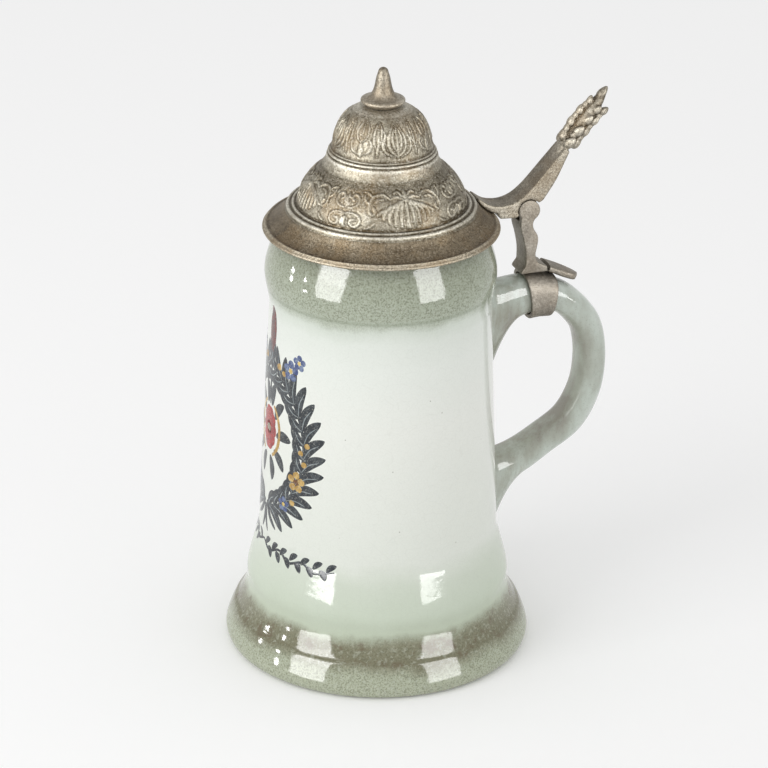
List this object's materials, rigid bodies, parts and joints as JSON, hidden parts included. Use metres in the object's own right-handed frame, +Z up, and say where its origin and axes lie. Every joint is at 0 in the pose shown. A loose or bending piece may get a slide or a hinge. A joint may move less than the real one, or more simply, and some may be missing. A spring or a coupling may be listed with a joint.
{
  "type": "beer stein",
  "caption": "Stoneware drinking mug with a loop handle and a hinged, domed pewter lid opened by a thumb lift.",
  "frame": {"origin": "on the mug's axis at table height, under the centre of its base", "axes": "+Z up along the mug's axis, +X towards the handle, +Y along the hinge axis"},
  "size_m": [0.1411, 0.11, 0.2157],
  "materials": {
    "stoneware_glaze": "glossy pale celadon glaze, green-grey at the top bulge and the foot",
    "green_glaze": "glossy grey-green glaze, thinner and browner at the roots",
    "plain_pewter": "satin pewter",
    "pin_metal": "dull",
    "cast_pewter": "antiqued pewter, worn bright on the raised parts",
    "antique_pewter": "antiqued pewter with brown patina, worn bright on the raised parts"
  },
  "bodies": {
    "mug": {"mug_body": "stoneware_glaze", "handle": "green_glaze", "handle_band": "plain_pewter", "hinge_post": "plain_pewter", "strap_leaf": "plain_pewter", "hinge_pin": "pin_metal"},
    "lid": {"lid": "antique_pewter", "finial": "antique_pewter", "thumb_lift": "cast_pewter"}
  },
  "joints": [
    {"name": "lid_hinge", "type": "hinge", "parent": "mug", "child": "lid", "pos_m": [0.0536, 0, 0.1586], "axis": [0, 1, 0], "range_deg": [0, 95]}
  ]
}
